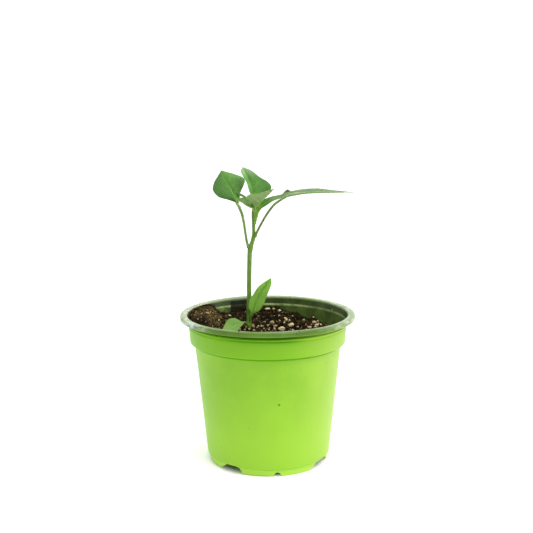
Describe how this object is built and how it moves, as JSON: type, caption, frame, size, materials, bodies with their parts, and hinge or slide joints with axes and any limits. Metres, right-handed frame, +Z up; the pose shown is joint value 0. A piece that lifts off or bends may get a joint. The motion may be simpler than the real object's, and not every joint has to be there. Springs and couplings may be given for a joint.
{
  "type": "potted bell pepper plant",
  "caption": "Young bell pepper seedling with a slim forked stem and broad leaves, growing in a round thin-walled green nursery pot filled with potting mix.",
  "frame": {"origin": "on the pot's axis, in the plane that its feet stand on", "axes": "+Z up along the pot's axis; the longest leaf points to +X; -Y is the side seen from the front"},
  "size_m": [0.115, 0.115, 0.192],
  "materials": {
    "pot_plastic": "satin",
    "potting_mix": "matte",
    "stem": "satin",
    "leaf": "satin",
    "young_leaf": "satin",
    "seed_leaf": "satin",
    "perlite": "matte"
  },
  "bodies": {
    "root": {"pot": "pot_plastic", "potting_mix": "potting_mix", "stem": "stem", "leaf_left": "leaf", "leaf_right": "leaf", "leaf_back": "leaf", "leaf_young_front": "young_leaf", "leaf_young_right": "young_leaf", "leaf_young_left": "young_leaf", "leaf_young_back": "young_leaf", "seed_leaf_right": "seed_leaf", "seed_leaf_left": "seed_leaf", "perlite_01": "perlite", "perlite_02": "perlite", "perlite_03": "perlite", "perlite_04": "perlite", "perlite_05": "perlite", "perlite_06": "perlite", "perlite_07": "perlite", "perlite_08": "perlite", "perlite_09": "perlite", "perlite_10": "perlite", "perlite_11": "perlite", "perlite_12": "perlite", "perlite_13": "perlite", "perlite_14": "perlite"}
  },
  "joints": []
}
